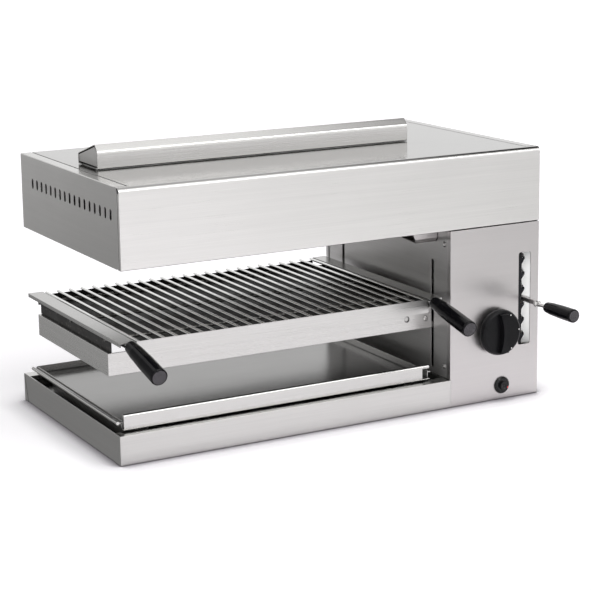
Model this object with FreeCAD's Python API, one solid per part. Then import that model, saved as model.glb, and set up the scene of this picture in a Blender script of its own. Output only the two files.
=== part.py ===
import FreeCAD, Part
import math
import os
from FreeCAD import Vector

os.makedirs("parts", exist_ok=True)

# Overall sizes, in millimetres. Everything is drawn from the left front lower
# corner of the hood: X to the right, Y to the rear, Z up from the counter.
body_width = 750.0
body_depth = 410.0
hood_bottom = 296.0
hood_height = 123.5
body_height = hood_bottom + hood_height
column_width = 173.5
base_height = 46.0
base_overhang = 10.0
sheet = 1.2
plate = 2.0
column_left = body_width - column_width
seam_gap = 1.2

# Hood shell and its side panels
hood_bend = 6.3
hood_lip = 12.0
side_start = 7.5
side_flange = 18.0
side_bend = 0.8
side_step = 6.0
side_corner = 9.0
side_seam = 2.6
side_gap = 2.2
vent_count = 17
vent_first = 33.5
vent_last = body_depth - 51.5
vent_width = 8.6
vent_low = body_height - 52.5
vent_high = body_height - 35.5
rear_flange_lap = 9.0
seat_gap = 0.3

# Flue cap on the roof
flue_left = 38.5
flue_length = column_left - 15.0
flue_front = 171.0
flue_depth = 80.0
flue_gap = 0.9
flue_front_height = 27.5
flue_rear_height = 17.0
flue_crown = 38.5
flue_bend = 8.0
flue_crown_back = 10.0
flue_end_inset = 0.8
flue_end_lift = 4.0
flue_end_margin = 0.3
flue_collar_inset = 4.0
flue_collar_wall = 6.0
flue_foot = 8.0
flue_mouth_side = 30.0
flue_mouth_inset = 14.0
flue_slot_pitch = 30.0
flue_slot_length = 20.0
flue_slot_low = 7.0
flue_slot_high = 13.0

# Column panels
panel_return = 10.0
slot_front_y = 55.5
slot_rear_y = body_depth - 62.0
slot_width = 8.0
slot_low = 56.0
slot_high = 240.0
wall_rear_return = 10.0
wall_screw_y = 20.0
wall_screw_low = 66.0
wall_screw_high = hood_bottom - 25.5
wall_screw_hole = 2.1
wall_screw_head = 4.2
wall_screw_shank = 2.0
wall_screw_length = 9.0
tube_hole_gap = 1.0
louvre_count = 7
louvre_first = column_left + 30.0
louvre_pitch = 17.0
louvre_width = 5.0
louvre_low = 210.0
louvre_high = 262.0
rear_screw_hole = 1.7
rear_screw_shank = 1.5
rear_screw_length = 6.0
rear_screw_head = 3.6
rear_screw_inset = 12.0
rear_screw_lift = 60.0

# Burners, gas and ignition
burner_front = 62.0
burner_depth = body_depth - 120.0
burner_gap = 12.0
burner_left = 16.0
burner_width = (column_left - 2 * burner_left - burner_gap) / 2
burner_box_low = hood_bottom + 4.0
burner_box_high = hood_bottom + 44.0
tile_height = 12.0
tile_groove = 2.0
tile_groove_depth = 1.5
tile_columns = 6
tile_rows = 7
tile_rim = 10.0
guard_wire = 2.0
guard_bars = 7
rail_leg = 14.0
rail_lap = 2.0
baffle_z = body_height - 33.5
baffle_drop = 14.0
baffle_front = hood_lip + 8.0
shield_left = column_left - 47.5
shield_front = 40.0
shield_depth = 55.0
shield_low = hood_bottom - 24.0
shield_bevel = 7.0
shield_slope = 8.0
shield_rise = 4.0
manifold_y = 36.0
manifold_z = hood_bottom + 56.0
socket_drop = 30.0
injector_rise = 8.0
gas_tube = 5.0
gas_tube_bend = 16.0
thermo_y = 46.0
thermo_z = hood_bottom - 2.0
thermo_offset = 26.0
thermo_radius = 1.5
lead_y = 60.0
lead_z = hood_bottom - 6.0
lead_radius = 1.4
lead_hole = 2.5
electrode_radius = 2.6
electrode_length = 16.0
inlet_x = column_left + 123.5
inlet_z = 62.0
inlet_radius = 10.4775
inlet_thread = 16.0
inlet_neck = 9.4
inlet_bore = 6.5
inlet_tail = 24.0
inlet_hexagon = 15.0
inlet_nut_height = 5.0

# Control knob and tap
knob_x = column_left + 88.5
knob_z = 118.5
knob_radius = 38.5
knob_back = -7.0
knob_front = -20.0
knob_ridge = 10.0
knob_ridge_half = 8.0
knob_ridge_end = 6.0
knob_waist_half = 3.4
knob_waist_radius = 118.0
knob_crown_radius = 190.0
knob_wall = 7.0
knob_dish = 4.5
knob_boss = 9.0
knob_mark_radius = 1.2
knob_mark_angles = (61.0, 5.0, -57.0)
knob_mark_inset = 5.8
mark_height = 0.5
spindle_radius = 4.0
spindle_tip = 3.0
spindle_step_y = 21.0
spindle_tip_length = 14.0
spindle_grip = 6.0
tap_radius = 14.0
tap_length = 50.0
tap_flange = 22.0
tap_flange_half = 12.0
tap_flange_thick = 4.0
tap_port_half = 8.0
plug_radius = 8.0
plug_start = 26.0
plug_length = 19.0
run_clearance = 0.05
end_clearance = 0.5

# Igniter
igniter_x = column_left + 101.0
igniter_z = 23.8
igniter_radius = 14.0
igniter_barrel = 9.0
button_radius = 7.0
button_stem = 3.0
button_front = -8.0
button_length = 10.0
button_stem_length = 12.0
button_travel_gap = 7.0
button_dish = 9.0
igniter_length = 48.0
igniter_bezel_height = 4.0
igniter_nut = 4.0
igniter_terminal = 6.0
igniter_terminal_radius = 2.2
igniter_mark_side = 9.0
igniter_mark_drop = 4.0
igniter_mark_radius = 1.8

# Height gate in the column front
gate_left = column_left + 133.5
gate_right = column_left + 157.5
gate_low = 88.0
gate_high = 245.5
gate_corner = 4.0
rack_front = 4.0
rack_thickness = 2.0
rack_bar_left = column_left + 120.5
rack_bar_right = column_left + 142.5
rack_overrun = 8.0
hook_tip = column_left + 148.5
hook_count = 6
hook_pitch = 26.0
hook_seat_low = 104.5
hook_rise = 3.0
hook_under = 9.5
hook_at_rest = 2
guide_wall = gate_right + 1.2
guide_depth = 46.0
guide_overrun = 6.0

# Lift carriage
carrier_left = -3.0
carrier_low = 125.0
carrier_high = 160.0
carrier_lip = 5.0
tongue_height = 10.0
tongue_reach = column_left + 35.5
wall_clear = 2.5
rail_web_x = 3.0
rail_flange = 17.0
rail_rear = body_depth - 58.0
rod_radius = 6.0
rod_x = column_left + 57.5
rod_front_y = 120.0
rod_rear_y = body_depth - 110.0
socket_wall = 5.0
socket_height = 12.0
bush_radius = 11.0
bush_height = 20.0
bush_low = 112.0
bush_high = 164.0
bush_block = 14.0
lift_plate_thick = 3.0
rod_bracket_z = hood_bottom - 12.0
bracket_thick = 3.0
bracket_leg = 18.0
bracket_reach = 16.0
bracket_over = 20.0
carrier_hole_x = column_left - 50.5
carrier_hole_z = 144.0
carrier_hole = 5.0
carrier_doubler_half = 8.0
carrier_screw_x = column_left - 14.5
carrier_screw_z = 141.5
carrier_screw_length = 8.0

# Lever
lever_pivot_y = 80.0
lever_gap = 0.4
lever_hook_gap = 0.3
lever_thick = 4.0
lever_tall = 7.0
lever_end = -37.0
lever_pin = 3.0
lever_pin_over = 2.0
lever_boss = 8.0
lever_arm_half = 14.0
lever_arm_thick = 4.0
lever_arm_end = body_width - 12.0
lever_eye_thick = 3.0
lever_eye = 5.2
lever_eye_neck = 3.4
lever_eye_length = 12.0
lever_bolt_y = -30.0
lever_bolt_radius = 2.0
lever_bolt_hole = 2.1
lever_bolt_head = 4.0
lever_bolt_crown = 2.6
lever_nut = 3.4
lever_nut_height = 2.4
lever_rod = 3.0
lever_rod_depth = 50.0
grip_bore_spare = 2.0
lever_grip_start = -60.0
lever_grip_length = 73.0
lever_grip_r0 = 8.8
lever_grip_r1 = 11.2

# Pull-out grid
grid_left = -5.0
grid_right = column_left - 16.5
grid_front = 2.0
grid_rear = body_depth - 22.0
grid_top = 187.5
grid_bar = 25.0
grid_edge = 1.5
grid_lip = 6.0
pan_left = grid_left + 27.0
pan_right = grid_right - 26.0
pan_low = 165.5
pan_sheet = 1.2
pan_front_sheet = 1.5
grid_rod = 2.5
grid_rod_count = 25
grid_rod_first = grid_left + 32.0
grid_rod_last = grid_right - 29.0
cross_rod = 3.0
cross_rod_inset = 64.0
slide_gap = 0.3
handle_inset = 16.0
handle_tilt = 12.6
handle_rod = 3.0
handle_rod_back = 52.0
handle_rod_bend = 14.0
handle_rod_depth = 60.0
handle_lead = 3.0
grip_length = 105.0
grip_r0 = 10.2
grip_r1 = 13.2
cap_inset = 1.4
cap_thick = 1.6
cap_rim = 2.2

# Drip tray
tray_left = 3.0
tray_right = column_left - 29.5
tray_front = 18.0
tray_rear = body_depth - 25.0
tray_floor = 49.0
tray_rim = 62.0
tray_rim_out = 9.0
tray_right_rim_out = 4.8
tray_side_start = 24.0
tray_bead = 2.8
tray_lip_bead = 4.0
tray_groove = 2.0
tray_lip_top = 73.0
tray_lip_left = 4.0
tray_lip_right = tray_right - 14.0
tray_lip_end = tray_right - 1.0
deck_z = 30.0
base_front_flange = 22.0
base_rear_flange = 24.0
flap_front = 24.0
flap_rear = 15.0
flap_thick = 0.6
flap_tip = 1.0
runner_width = 18.0
runner_inset = 26.0
runner_front = 26.0
runner_short = 6.0


def block(x0, x1, y0, y1, z0, z1):
    """Box between two corners."""
    return Part.makeBox(x1 - x0, y1 - y0, z1 - z0, Vector(x0, y0, z0))


def rod(start, direction, radius, length):
    """Solid cylinder from a point along a direction."""
    return Part.makeCylinder(radius, length, Vector(*start), Vector(*direction))


def ring(start, direction, outer, inner, length):
    """Tube section from a point along a direction."""
    return rod(start, direction, outer, length).cut(rod(start, direction, inner, length))


def join(shapes):
    """One solid out of touching shapes."""
    result = shapes[0]
    for shape in shapes[1:]:
        result = result.fuse(shape)
    return result.removeSplitter()


def less(shape, cutters):
    """Shape with every cutter taken away."""
    for cutter in cutters:
        shape = shape.cut(cutter)
    return shape


def save(name, solids):
    """Write one named piece, moved so that the footprint is centred on the origin."""
    group = Part.makeCompound(solids)
    group.translate(Vector(-body_width / 2, -body_depth / 2, 0))
    group.exportStep("parts/" + name + ".step")


def to_space(plane, a, b, offset):
    """Point of a drawing plane in space: yz, xz or xy."""
    if plane == "yz":
        return Vector(offset, a, b)
    if plane == "xz":
        return Vector(a, offset, b)
    return Vector(a, b, offset)


def along(plane, length):
    """Extrusion vector of a drawing plane."""
    if plane == "yz":
        return Vector(length, 0, 0)
    if plane == "xz":
        return Vector(0, length, 0)
    return Vector(0, 0, length)


def prism(plane, points, start, end):
    """Straight-sided outline, extruded from start to end."""
    corners = [to_space(plane, a, b, start) for a, b in points]
    wire = Part.makePolygon(corners + [corners[0]])
    return Part.Face(wire).extrude(along(plane, end - start))


def folded(plane, points, thickness, bends, start, end):
    """Sheet folded along an outline, with its material to the left of the outline."""
    given = []
    offset = []
    count = len(points)
    units = []
    for i in range(count - 1):
        dx = points[i + 1][0] - points[i][0]
        dy = points[i + 1][1] - points[i][1]
        size = math.hypot(dx, dy)
        units.append((dx / size, dy / size))
    first = units[0]
    here = points[0]
    here_off = (here[0] - first[1] * thickness, here[1] + first[0] * thickness)
    lead_off = here_off
    for i in range(1, count - 1):
        before = units[i - 1]
        after = units[i]
        cross = before[0] * after[1] - before[1] * after[0]
        turn = math.atan2(abs(cross), before[0] * after[0] + before[1] * after[1])
        side = 1.0 if cross > 0 else -1.0
        near = bends[i - 1] + (thickness if side > 0 else 0.0)
        far = near - side * thickness
        back = near * math.tan(turn / 2)
        a = (points[i][0] - before[0] * back, points[i][1] - before[1] * back)
        b = (points[i][0] + after[0] * back, points[i][1] + after[1] * back)
        centre = (a[0] - before[1] * side * near, a[1] + before[0] * side * near)
        mid = (a[0] + b[0] - 2 * centre[0], a[1] + b[1] - 2 * centre[1])
        size = math.hypot(mid[0], mid[1])
        mid = (mid[0] / size, mid[1] / size)
        a_off = (a[0] - before[1] * thickness, a[1] + before[0] * thickness)
        b_off = (b[0] - after[1] * thickness, b[1] + after[0] * thickness)
        m_near = (centre[0] + mid[0] * near, centre[1] + mid[1] * near)
        m_far = (centre[0] + mid[0] * far, centre[1] + mid[1] * far)
        given.append(("line", here, a))
        given.append(("arc", a, m_near, b))
        offset.append(("line", here_off, a_off))
        offset.append(("arc", a_off, m_far, b_off))
        here = b
        here_off = b_off
    last = units[-1]
    end_off = (points[-1][0] - last[1] * thickness, points[-1][1] + last[0] * thickness)
    given.append(("line", here, points[-1]))
    offset.append(("line", here_off, end_off))
    runs = given + [("line", points[-1], end_off)] + offset + [("line", points[0], lead_off)]
    edges = []
    for run in runs:
        places = [to_space(plane, p[0], p[1], start) for p in run[1:]]
        if run[0] == "line":
            edges.append(Part.LineSegment(places[0], places[1]).toShape())
        else:
            edges.append(Part.Arc(places[0], places[1], places[2]).toShape())
    wire = Part.Wire(Part.__sortEdges__(edges))
    return Part.Face(wire).extrude(along(plane, end - start))


def slot_cutter(plane, a, low, high, width, start, end):
    """Upright slot with round ends, to be cut out of a panel."""
    half = width / 2
    body = prism(plane, [(a - half, low + half), (a + half, low + half),
                         (a + half, high - half), (a - half, high - half)], start, end)
    step = along(plane, 1.0)
    direction = (step.x, step.y, step.z)
    ends = []
    for level in (low + half, high - half):
        middle = to_space(plane, a, level, start)
        ends.append(rod((middle.x, middle.y, middle.z), direction, half, end - start))
    return join([body] + ends)


def rounded_panel(plane, a0, a1, b0, b1, radius, start, end):
    """Rectangle with round corners, extruded."""
    shape = join([prism(plane, [(a0 + radius, b0), (a1 - radius, b0), (a1 - radius, b1), (a0 + radius, b1)],
                        start, end),
                  prism(plane, [(a0, b0 + radius), (a1, b0 + radius), (a1, b1 - radius), (a0, b1 - radius)],
                        start, end)])
    step = along(plane, 1.0)
    direction = (step.x, step.y, step.z)
    for a in (a0 + radius, a1 - radius):
        for b in (b0 + radius, b1 - radius):
            middle = to_space(plane, a, b, start)
            shape = shape.fuse(rod((middle.x, middle.y, middle.z), direction, radius, end - start))
    return shape.removeSplitter()


def pipe(points, radius, bend):
    """Round bar along straight runs joined by tangent arcs."""
    places = [Vector(*p) for p in points]
    edges = []
    here = places[0]
    for i in range(1, len(places) - 1):
        before = (places[i] - places[i - 1]).normalize()
        after = (places[i + 1] - places[i]).normalize()
        turn = before.getAngle(after)
        back = bend * math.tan(turn / 2)
        a = places[i] - before * back
        b = places[i] + after * back
        inward = (after - before).normalize()
        centre = places[i] + inward * (bend / math.cos(turn / 2))
        mid = centre - inward * bend
        edges.append(Part.LineSegment(here, a).toShape())
        edges.append(Part.Arc(a, mid, b).toShape())
        here = b
    edges.append(Part.LineSegment(here, places[-1]).toShape())
    path = Part.Wire(edges)
    lead = (places[1] - places[0]).normalize()
    section = Part.Wire([Part.makeCircle(radius, places[0], lead)])
    return path.makePipeShell([section], True, False)


def turned(profile, start, direction):
    """Solid turned from (distance, radius) steps, laid along a direction from a point."""
    points = [Vector(0, 0, 0)]
    for distance, radius in profile:
        points.append(Vector(radius, 0, distance))
    points.append(Vector(0, 0, profile[-1][0]))
    points.append(points[0])
    shape = Part.Face(Part.makePolygon(points)).revolve(Vector(0, 0, 0), Vector(0, 0, 1), 360)
    turn = FreeCAD.Rotation(Vector(0, 0, 1), Vector(*direction))
    shape.Placement = FreeCAD.Placement(Vector(*start), turn)
    return shape


def screw(place, direction, head, shank, length):
    """Pan head screw with a cross recess; its head stands on the given face."""
    height = head * 0.55
    back = (-direction[0], -direction[1], -direction[2])
    top = turned([(0, head), (height * 0.5, head), (height, head * 0.6)], place, direction)
    body = rod(place, back, shank, length)
    recess = rod([place[i] + direction[i] * (height - head * 0.25) for i in range(3)], direction,
                 head * 0.3, head)
    return join([top, body]).cut(recess)


def base_pan():
    """Folded base with front and rear flanges and corner flaps on its left side."""
    left = -base_overhang
    right = column_left
    walls = [
        block(left, right, 0, body_depth, 0, sheet),
        block(left, right, 0, sheet, 0, base_height),
        block(left, right, body_depth - sheet, body_depth, 0, base_height),
        block(left, left + sheet, 0, body_depth, 0, base_height),
        block(right - sheet, right, 0, body_depth, 0, base_height),
        block(left, right, 0, base_front_flange, base_height - sheet, base_height),
        block(left, right, body_depth - base_rear_flange, body_depth, base_height - sheet, base_height),
        prism("yz", [(0, 0), (flap_front, 0), (flap_tip, base_height), (0, base_height)],
              left - flap_thick, left),
        prism("yz", [(body_depth, 0), (body_depth - flap_rear, 0), (body_depth - flap_tip, base_height),
                     (body_depth, base_height)], left - flap_thick, left),
    ]
    return join(walls)


def base_deck():
    """Recessed floor under the drip tray, with down-turned edges that stand on the base floor."""
    left = -base_overhang + sheet
    right = column_left - sheet
    return join([
        block(left, right, sheet, body_depth - sheet, deck_z, deck_z + sheet),
        block(left, left + sheet, sheet, body_depth - sheet, sheet, deck_z),
        block(right - sheet, right, sheet, body_depth - sheet, sheet, deck_z),
    ])


def tray_runners():
    """Two raised channels on the deck that carry the drip tray."""
    runners = []
    low = deck_z + sheet
    top = tray_floor - slide_gap
    rear = tray_rear - runner_short
    for x in (tray_left + runner_inset, tray_right - runner_inset - runner_width):
        runners.append(join([
            block(x, x + plate, runner_front, rear, low, top),
            block(x + runner_width - plate, x + runner_width, runner_front, rear, low, top),
            block(x, x + runner_width, runner_front, rear, top - sheet, top),
        ]))
    return runners


def column_front_panel():
    """Control panel with its left return, gate cut-out, tap hole and igniter hole."""
    top = hood_bottom - seam_gap
    face = join([
        block(column_left, body_width, 0, sheet, 0, top),
        block(column_left - sheet, column_left, 0, panel_return, base_height + seat_gap, top),
        block(column_left - sheet, column_left + sheet, 0, sheet, base_height + seat_gap, top),
    ])
    gate = rounded_panel("xz", gate_left, gate_right, gate_low, gate_high, gate_corner, -1, sheet + 1)
    return less(face, [
        gate,
        rod((knob_x, -1, knob_z), (0, 1, 0), spindle_radius + 1, 4),
        rod((igniter_x, -1, igniter_z), (0, 1, 0), igniter_barrel + 0.2, 4),
    ])


def column_side_panel():
    """Right outer skin of the column, folded in along its rear edge."""
    return folded("xy", [(body_width - rear_flange_lap, body_depth), (body_width, body_depth),
                         (body_width, sheet)][::-1], sheet, [1.0], 0, hood_bottom - seam_gap)


def column_inner_wall():
    """Left wall of the column, with the two upright slots of the lift carriage."""
    wall = join([
        block(column_left, column_left + sheet, sheet, body_depth - sheet, sheet, hood_bottom - 4),
        block(column_left, column_left + sheet, hood_lip + 2, body_depth - sheet, hood_bottom - 4,
              body_height - sheet),
        block(column_left - sheet, column_left, body_depth - wall_rear_return, body_depth - sheet,
              base_height + seat_gap, hood_bottom - seam_gap),
    ])
    cutters = []
    for y in (slot_front_y, slot_rear_y):
        cutters.append(slot_cutter("yz", y, slot_low, slot_high, slot_width, column_left - 1,
                                   column_left + sheet + 1))
    for y in (wall_screw_y, body_depth - wall_screw_y):
        for z in (wall_screw_low, wall_screw_high):
            cutters.append(rod((column_left - 1, y, z), (1, 0, 0), wall_screw_hole, 4))
    cutters.append(rod((column_left - 1, manifold_y, manifold_z), (1, 0, 0), gas_tube + tube_hole_gap, 4))
    cutters.append(rod((column_left - 1, thermo_y, thermo_z), (1, 0, 0), lead_hole, 4))
    cutters.append(rod((column_left - 1, lead_y, lead_z), (1, 0, 0), lead_hole, 4))
    return less(wall, cutters)


def column_floor():
    """Bottom plate of the column."""
    return block(column_left, body_width - sheet - seat_gap, sheet, body_depth - sheet - seat_gap, 0, sheet)


def column_rear_cover():
    """Rear service cover with louvre slots and the gas inlet hole."""
    cover = block(column_left + sheet, body_width - rear_flange_lap - seat_gap, body_depth - sheet,
                  body_depth, sheet + seat_gap, hood_bottom - seam_gap)
    cutters = [rod((inlet_x, body_depth - 3, inlet_z), (0, 1, 0), inlet_neck + seat_gap, 6)]
    for i in range(louvre_count):
        x = louvre_first + i * louvre_pitch
        cutters.append(slot_cutter("xz", x, louvre_low, louvre_high, louvre_width, body_depth - 3,
                                   body_depth + 3))
    for x, z in cover_screw_places():
        cutters.append(rod((x, body_depth - 3, z), (0, 1, 0), rear_screw_hole, 6))
    return less(cover, cutters)


def cover_screw_places():
    """Screw places of the rear cover, as X and Z."""
    places = []
    for x in (column_left + rear_screw_inset, body_width - rear_flange_lap - rear_screw_inset):
        for z in (18.0, hood_bottom / 2 + 12, hood_bottom - rear_screw_inset):
            places.append((x, z))
    return places


def hood_screw_places():
    """Screw places of the hood's rear panel, as X and Z."""
    places = []
    for i in range(5):
        places.append((30.0 + i * (body_width - 60.0) / 4, hood_bottom + rear_screw_lift))
    return places


def hood_shell():
    """Front, roof and lower lip of the hood in one folded sheet."""
    outline = [(body_depth, body_height), (0, body_height), (0, hood_bottom), (hood_lip, hood_bottom)]
    shell = folded("yz", outline, sheet, [hood_bend, 1.0], 0, body_width)
    low = hood_bottom + sheet
    high = body_height - side_corner
    rear = side_start - side_gap
    shell = join([shell, block(0, sheet, sheet, rear, low, high),
                  block(body_width - sheet, body_width, sheet, rear, low, high)])
    cut_x = side_flange + side_seam
    cut_y = side_start + side_step
    mouth_left = flue_left + flue_mouth_side
    mouth_right = flue_left + flue_length - flue_mouth_side
    return less(shell, [
        block(-1, cut_x, cut_y, body_depth + 1, high, body_height + 1),
        block(body_width - cut_x, body_width + 1, cut_y, body_depth + 1, high, body_height + 1),
        block(mouth_left, mouth_right, flue_front + flue_mouth_inset,
              flue_front + flue_depth - flue_mouth_inset, high, body_height + 1),
    ])


def hood_side(mirrored):
    """Side panel of the hood with a folded top flange and a row of upright vents."""
    outline = [(side_flange, body_height), (0, body_height), (0, hood_bottom)]
    flange_start = side_start + side_step + side_seam
    lap_end = flange_start + side_seam
    high = body_height - side_corner
    top_part = folded("xz", outline, sheet, [side_bend], flange_start, body_depth)
    front_part = block(0, sheet, side_start, lap_end, hood_bottom + sheet, high)
    corner = prism("yz", [(side_start, high), (lap_end, high), (lap_end, body_height - sheet),
                          (side_start + side_step / 2, body_height - sheet)], 0, sheet)
    panel = join([top_part, front_part, corner])
    step = (vent_last - vent_first) / (vent_count - 1)
    cutters = []
    for i in range(vent_count):
        cutters.append(slot_cutter("yz", vent_first + i * step, vent_low, vent_high, vent_width, -1,
                                   sheet + 1))
    panel = less(panel, cutters)
    if mirrored:
        panel = panel.mirror(Vector(body_width / 2, 0, 0), Vector(1, 0, 0))
    return panel


def hood_rear_panel():
    """Rear skin of the hood."""
    panel = block(sheet + seat_gap, body_width - sheet - seat_gap, body_depth - sheet, body_depth,
                  hood_bottom, body_height - sheet - seat_gap)
    cutters = [rod((x, body_depth - 3, z), (0, 1, 0), rear_screw_hole, 6) for x, z in hood_screw_places()]
    return less(panel, cutters)


def flue_collar():
    """Dark upstand ring between the roof and the flue cap."""
    x0 = flue_left + flue_collar_inset
    x1 = flue_left + flue_length - flue_collar_inset
    y0 = flue_front + flue_collar_inset
    y1 = flue_front + flue_depth - flue_collar_inset
    w = flue_collar_wall
    outer = block(x0, x1, y0, y1, body_height, body_height + flue_gap)
    inner = block(x0 + w, x1 - w, y0 + w, y1 - w, body_height - 1, body_height + flue_gap + 1)
    return outer.cut(inner)


def flue_outline():
    """Section of the flue cap from its rear foot over the crown to its front foot."""
    low = body_height + flue_gap
    rear = flue_front + flue_depth
    return [(rear - flue_foot, low), (rear, low), (rear, low + flue_rear_height),
            (flue_front + flue_crown_back, low + flue_crown), (flue_front, low + flue_front_height),
            (flue_front, low), (flue_front + flue_foot, low)]


def flue_cap():
    """Folded flue cap: upright front, rounded crown, roof sloping to the rear, slotted rear wall."""
    cap = folded("yz", flue_outline(), sheet, [1.0, 2.0, 4.0, flue_bend, 1.0], flue_left,
                 flue_left + flue_length)
    low = body_height + flue_gap
    rear = flue_front + flue_depth
    count = int((flue_length - flue_slot_pitch) / flue_slot_pitch)
    first = flue_left + (flue_length - (count - 1) * flue_slot_pitch - flue_slot_length) / 2
    cutters = []
    for i in range(count):
        x = first + i * flue_slot_pitch
        cutters.append(block(x, x + flue_slot_length, rear - 3, rear + 3, low + flue_slot_low,
                             low + flue_slot_high))
    return less(cap, cutters)


def flue_ends():
    """End plates of the flue cap, set in from its ends."""
    base = body_height + flue_gap
    low = base + flue_end_lift
    front = flue_front + sheet + flue_end_margin
    rear = flue_front + flue_depth - sheet - flue_end_margin
    drop = sheet + 2 * flue_end_margin
    outline = [(front, low), (rear, low), (rear, base + flue_rear_height - drop - 1),
               (flue_front + flue_crown_back + 3, base + flue_crown - 2 * drop - 1),
               (front + 1, base + flue_front_height - drop)]
    plates = []
    for x in (flue_left + flue_end_inset, flue_left + flue_length - flue_end_inset - sheet):
        plates.append(prism("yz", outline, x, x + sheet))
    return plates


def heat_shield():
    """Sheet above the burners, with an opening under the flue."""
    baffle = join([
        block(sheet, column_left, baffle_front, body_depth - sheet, baffle_z, baffle_z + sheet),
        block(sheet, column_left, baffle_front, baffle_front + sheet, baffle_z - baffle_drop, baffle_z),
    ])
    return baffle.cut(block(flue_left + flue_mouth_side, column_left - flue_mouth_side,
                            flue_front + flue_mouth_inset, flue_front + flue_depth - flue_mouth_inset,
                            baffle_z - 3, baffle_z + 3))


def burner_rails():
    """Two angle rails across the hood that carry the burners."""
    rails = []
    for y in (burner_front - rail_lap, burner_front + burner_depth - rail_leg + rail_lap):
        rails.append(join([
            block(sheet, column_left, y, y + rail_leg, burner_box_high, burner_box_high + plate),
            block(sheet, column_left, y, y + plate, burner_box_high, burner_box_high + rail_leg),
        ]))
    return rails


def burner_box(x):
    """Pressed plenum of one burner, open below, with its gas socket at the front."""
    y1 = burner_front + burner_depth
    shell = block(x, x + burner_width, burner_front, y1, burner_box_low, burner_box_high)
    hollow = block(x + sheet, x + burner_width - sheet, burner_front + sheet, y1 - sheet,
                   burner_box_low - 1, burner_box_high - sheet)
    return shell.cut(hollow)


def burner_tile(x):
    """Ceramic plaque that closes the burner, scored into squares on its glowing face."""
    x0 = x + sheet
    x1 = x + burner_width - sheet
    y0 = burner_front + sheet
    y1 = burner_front + burner_depth - sheet
    slab = block(x0, x1, y0, y1, burner_box_low, burner_box_low + tile_height)
    half = tile_groove / 2
    top = burner_box_low + tile_groove_depth
    cutters = []
    for i in range(1, tile_columns):
        cx = x0 + (x1 - x0) * i / tile_columns
        cutters.append(block(cx - half, cx + half, y0 - 1, y1 + 1, burner_box_low - 1, top))
    for i in range(1, tile_rows):
        cy = y0 + (y1 - y0) * i / tile_rows
        cutters.append(block(x0 - 1, x1 + 1, cy - half, cy + half, burner_box_low - 1, top))
    return less(slab, cutters)


def burner_guard(x):
    """Wire guard below one burner: a frame with bars."""
    y1 = burner_front + burner_depth
    top = burner_box_low
    outer = block(x, x + burner_width, burner_front, y1, top - guard_wire, top)
    inner = block(x + tile_rim, x + burner_width - tile_rim, burner_front + tile_rim, y1 - tile_rim,
                  top - 5, top + 5)
    bars = [outer.cut(inner)]
    half = guard_wire / 2
    for i in range(1, guard_bars + 1):
        cx = x + burner_width * i / (guard_bars + 1)
        bars.append(block(cx - half, cx + half, burner_front + tile_rim - 1, y1 - tile_rim + 1,
                          top - guard_wire, top))
    return join(bars)


def ignition_shield():
    """Bevelled shield under the hood that covers the electrode and the thermocouple tip."""
    x0 = shield_left
    x1 = column_left
    y0 = shield_front
    y1 = shield_front + shield_depth
    low = shield_low
    bevel = shield_bevel * 0.7
    solid = prism("yz", [(y0, hood_bottom), (y0, low + shield_bevel), (y0 + bevel, low),
                         (y1, low + shield_rise), (y1, hood_bottom)], x0, x1)
    hollow = prism("yz", [(y0 + sheet, hood_bottom + 1), (y0 + sheet, low + shield_bevel + sheet / 2),
                          (y0 + bevel + sheet / 2, low + sheet), (y1 - sheet, low + shield_rise + sheet),
                          (y1 - sheet, hood_bottom + 1)], x0 + sheet, x1 + 1)
    slope = prism("xz", [(x0 - 1, low - 1), (x0 + shield_slope, low - 1), (x0 - 1, hood_bottom - 6)],
                  y0 - 1, y1 + 1)
    flange = block(x0, x1, y1 - sheet, burner_front + 40, hood_bottom - sheet, hood_bottom)
    return join([less(solid, [hollow, slope]), flange])


def gas_manifold():
    """Tube from the tap up the column and across the hood, with two injector sockets."""
    tube = pipe([(knob_x, manifold_y, knob_z + tap_radius), (knob_x, manifold_y, manifold_z),
                 (burner_left + 60, manifold_y, manifold_z)], gas_tube, gas_tube_bend)
    sockets = []
    for i in range(2):
        x = burner_left + burner_width / 2 + i * (burner_width + burner_gap)
        sockets.append(rod((x, manifold_y, manifold_z), (0, 0, -1), gas_tube + 2, socket_drop))
    return join([tube] + sockets)


def injectors():
    """Brass injectors between the manifold sockets and the burner boxes."""
    parts = []
    for i in range(2):
        x = burner_left + burner_width / 2 + i * (burner_width + burner_gap)
        z = manifold_z - socket_drop + injector_rise
        parts.append(turned([(0, 5.5), (5, 5.5), (5, 4), (19, 4)],
                            (x, manifold_y + gas_tube + 2, z), (0, 1, 0)))
    return parts


def inlet_fitting():
    """Threaded gas inlet through the rear cover, with its hexagon and lock nut."""
    y = body_depth
    hexagon = []
    for i in range(6):
        angle = math.radians(60 * i)
        hexagon.append((inlet_x + inlet_hexagon * math.cos(angle), inlet_z + inlet_hexagon * math.sin(angle)))
    return join([
        prism("xz", hexagon, y - sheet - 9, y - sheet),
        rod((inlet_x, y - sheet - inlet_tail, inlet_z), (0, 1, 0), inlet_neck,
            inlet_tail + sheet + inlet_nut_height),
        rod((inlet_x, y + inlet_nut_height, inlet_z), (0, 1, 0), inlet_radius, inlet_thread),
    ]).cut(rod((inlet_x, y - 60, inlet_z), (0, 1, 0), inlet_bore, 120))


def inlet_nut():
    """Lock nut of the gas inlet, outside the rear cover."""
    hexagon = []
    for i in range(6):
        angle = math.radians(60 * i + 30)
        hexagon.append((inlet_x + inlet_hexagon * math.cos(angle), inlet_z + inlet_hexagon * math.sin(angle)))
    nut = prism("xz", hexagon, body_depth, body_depth + inlet_nut_height)
    return nut.cut(rod((inlet_x, body_depth - 1, inlet_z), (0, 1, 0), inlet_neck + run_clearance, 8))


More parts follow.
